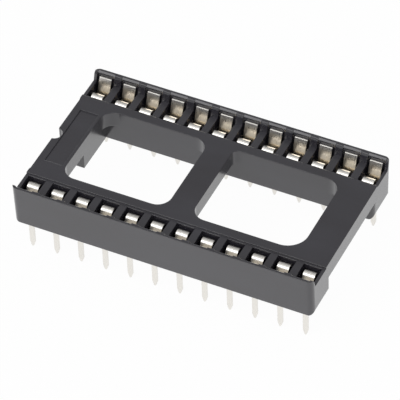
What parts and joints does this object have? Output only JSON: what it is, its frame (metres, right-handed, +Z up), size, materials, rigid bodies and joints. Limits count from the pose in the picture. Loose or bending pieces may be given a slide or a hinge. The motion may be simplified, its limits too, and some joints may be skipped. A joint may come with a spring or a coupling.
{
  "type": "dip socket",
  "caption": "Open-frame dual-in-line socket: a moulded frame whose rows of sprung stamped contacts grip a chip's leads and solder into a board.",
  "frame": {"origin": "centre of the pin grid, on the plane where the housing meets the board", "axes": "+X along the rows, away from the end with the polarity notch; +Y from the row of contacts 1 to 12 to the row of contacts 13 to 24; +Z up, away from the board"},
  "size_m": [0.0304, 0.0176, 0.0082],
  "materials": {
    "housing": "black glass-filled thermoplastic, as moulded with a low sheen",
    "contact": "stamped phosphor bronze with bright tin plating"
  },
  "bodies": {
    "root": {"housing": "housing", "contact_01": "contact", "contact_02": "contact", "contact_03": "contact", "contact_04": "contact", "contact_05": "contact", "contact_06": "contact", "contact_07": "contact", "contact_08": "contact", "contact_09": "contact", "contact_10": "contact", "contact_11": "contact", "contact_12": "contact", "contact_13": "contact", "contact_14": "contact", "contact_15": "contact", "contact_16": "contact", "contact_17": "contact", "contact_18": "contact", "contact_19": "contact", "contact_20": "contact", "contact_21": "contact", "contact_22": "contact", "contact_23": "contact", "contact_24": "contact"}
  },
  "joints": []
}
